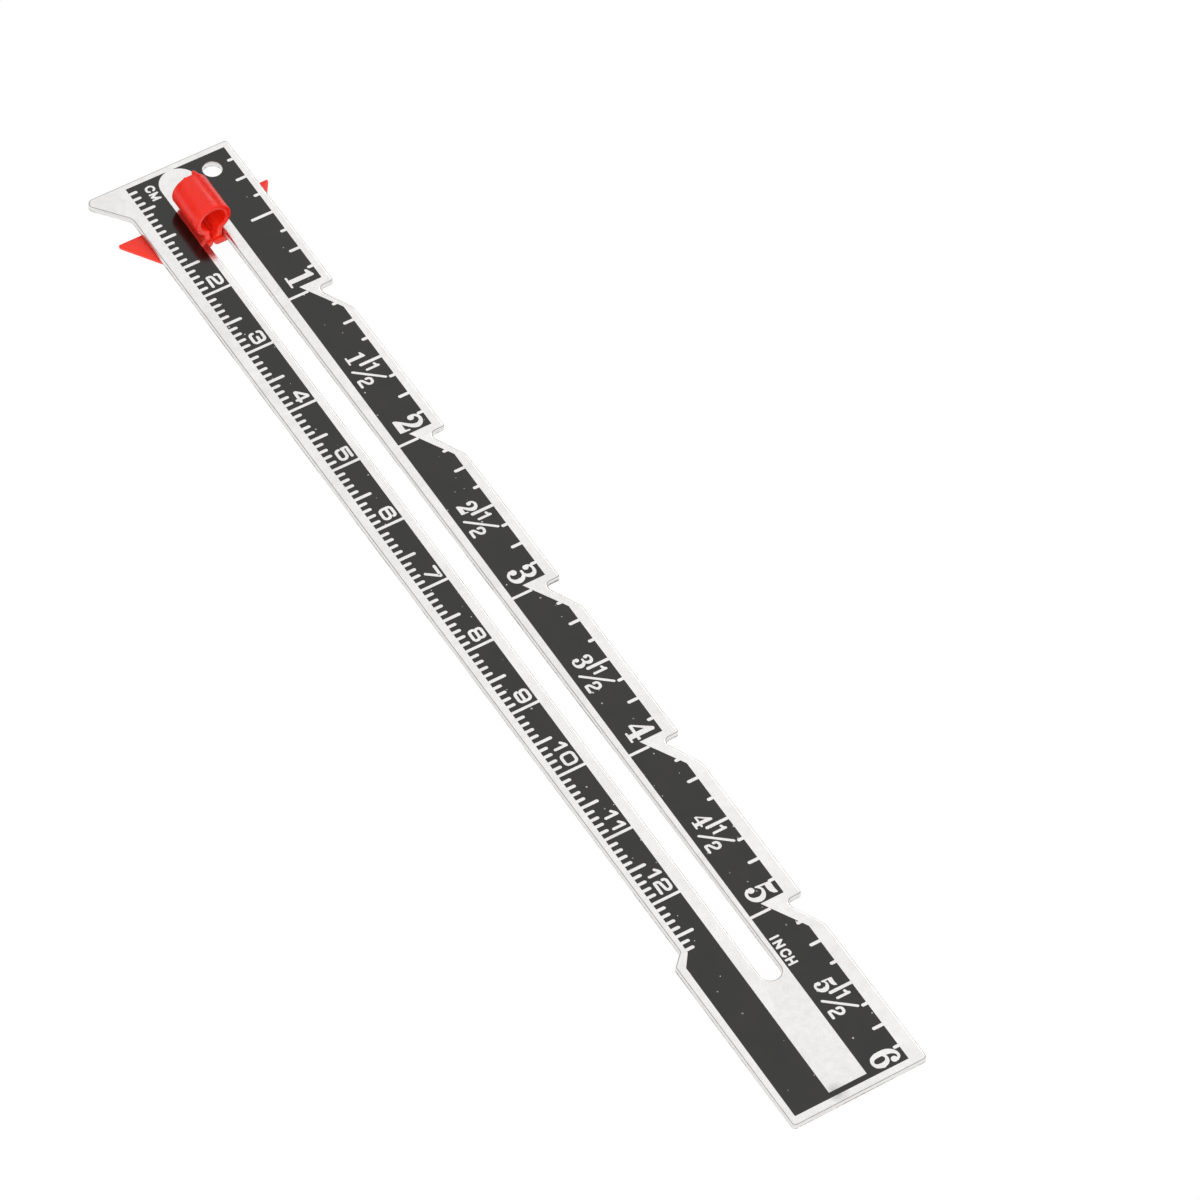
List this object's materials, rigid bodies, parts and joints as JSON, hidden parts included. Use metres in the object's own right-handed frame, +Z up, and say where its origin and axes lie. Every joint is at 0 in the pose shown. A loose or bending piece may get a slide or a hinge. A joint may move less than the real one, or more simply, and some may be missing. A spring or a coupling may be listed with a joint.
{
  "type": "sewing gauge",
  "caption": "Flat notched metal sewing gauge, with centimetre and inch scales and a plastic slider that runs in a long slot.",
  "frame": {"origin": "middle of the whole gauge's box in X and Y, on the plane under the slider's feet", "axes": "+Z up out of the printed face, +Y along the blade towards its hooked back end, +X across it towards the notched inch edge"},
  "size_m": [0.0208, 0.152, 0.0068],
  "materials": {
    "blade": "bright rolled sheet, smooth, edges left from the press",
    "slider": "moulded red plastic, glossy",
    "print": "screen-printed black ink film, smooth, semi-gloss"
  },
  "bodies": {
    "blade": {"blade": "blade", "cm_print": "print", "inch_print": "print", "base_print": "print"},
    "slider": {"slider": "slider"}
  },
  "joints": [
    {"name": "slider_slide", "type": "slide", "parent": "blade", "child": "slider", "axis": [0, -1, 0], "range_m": [-0.00123, 0.1217]}
  ]
}
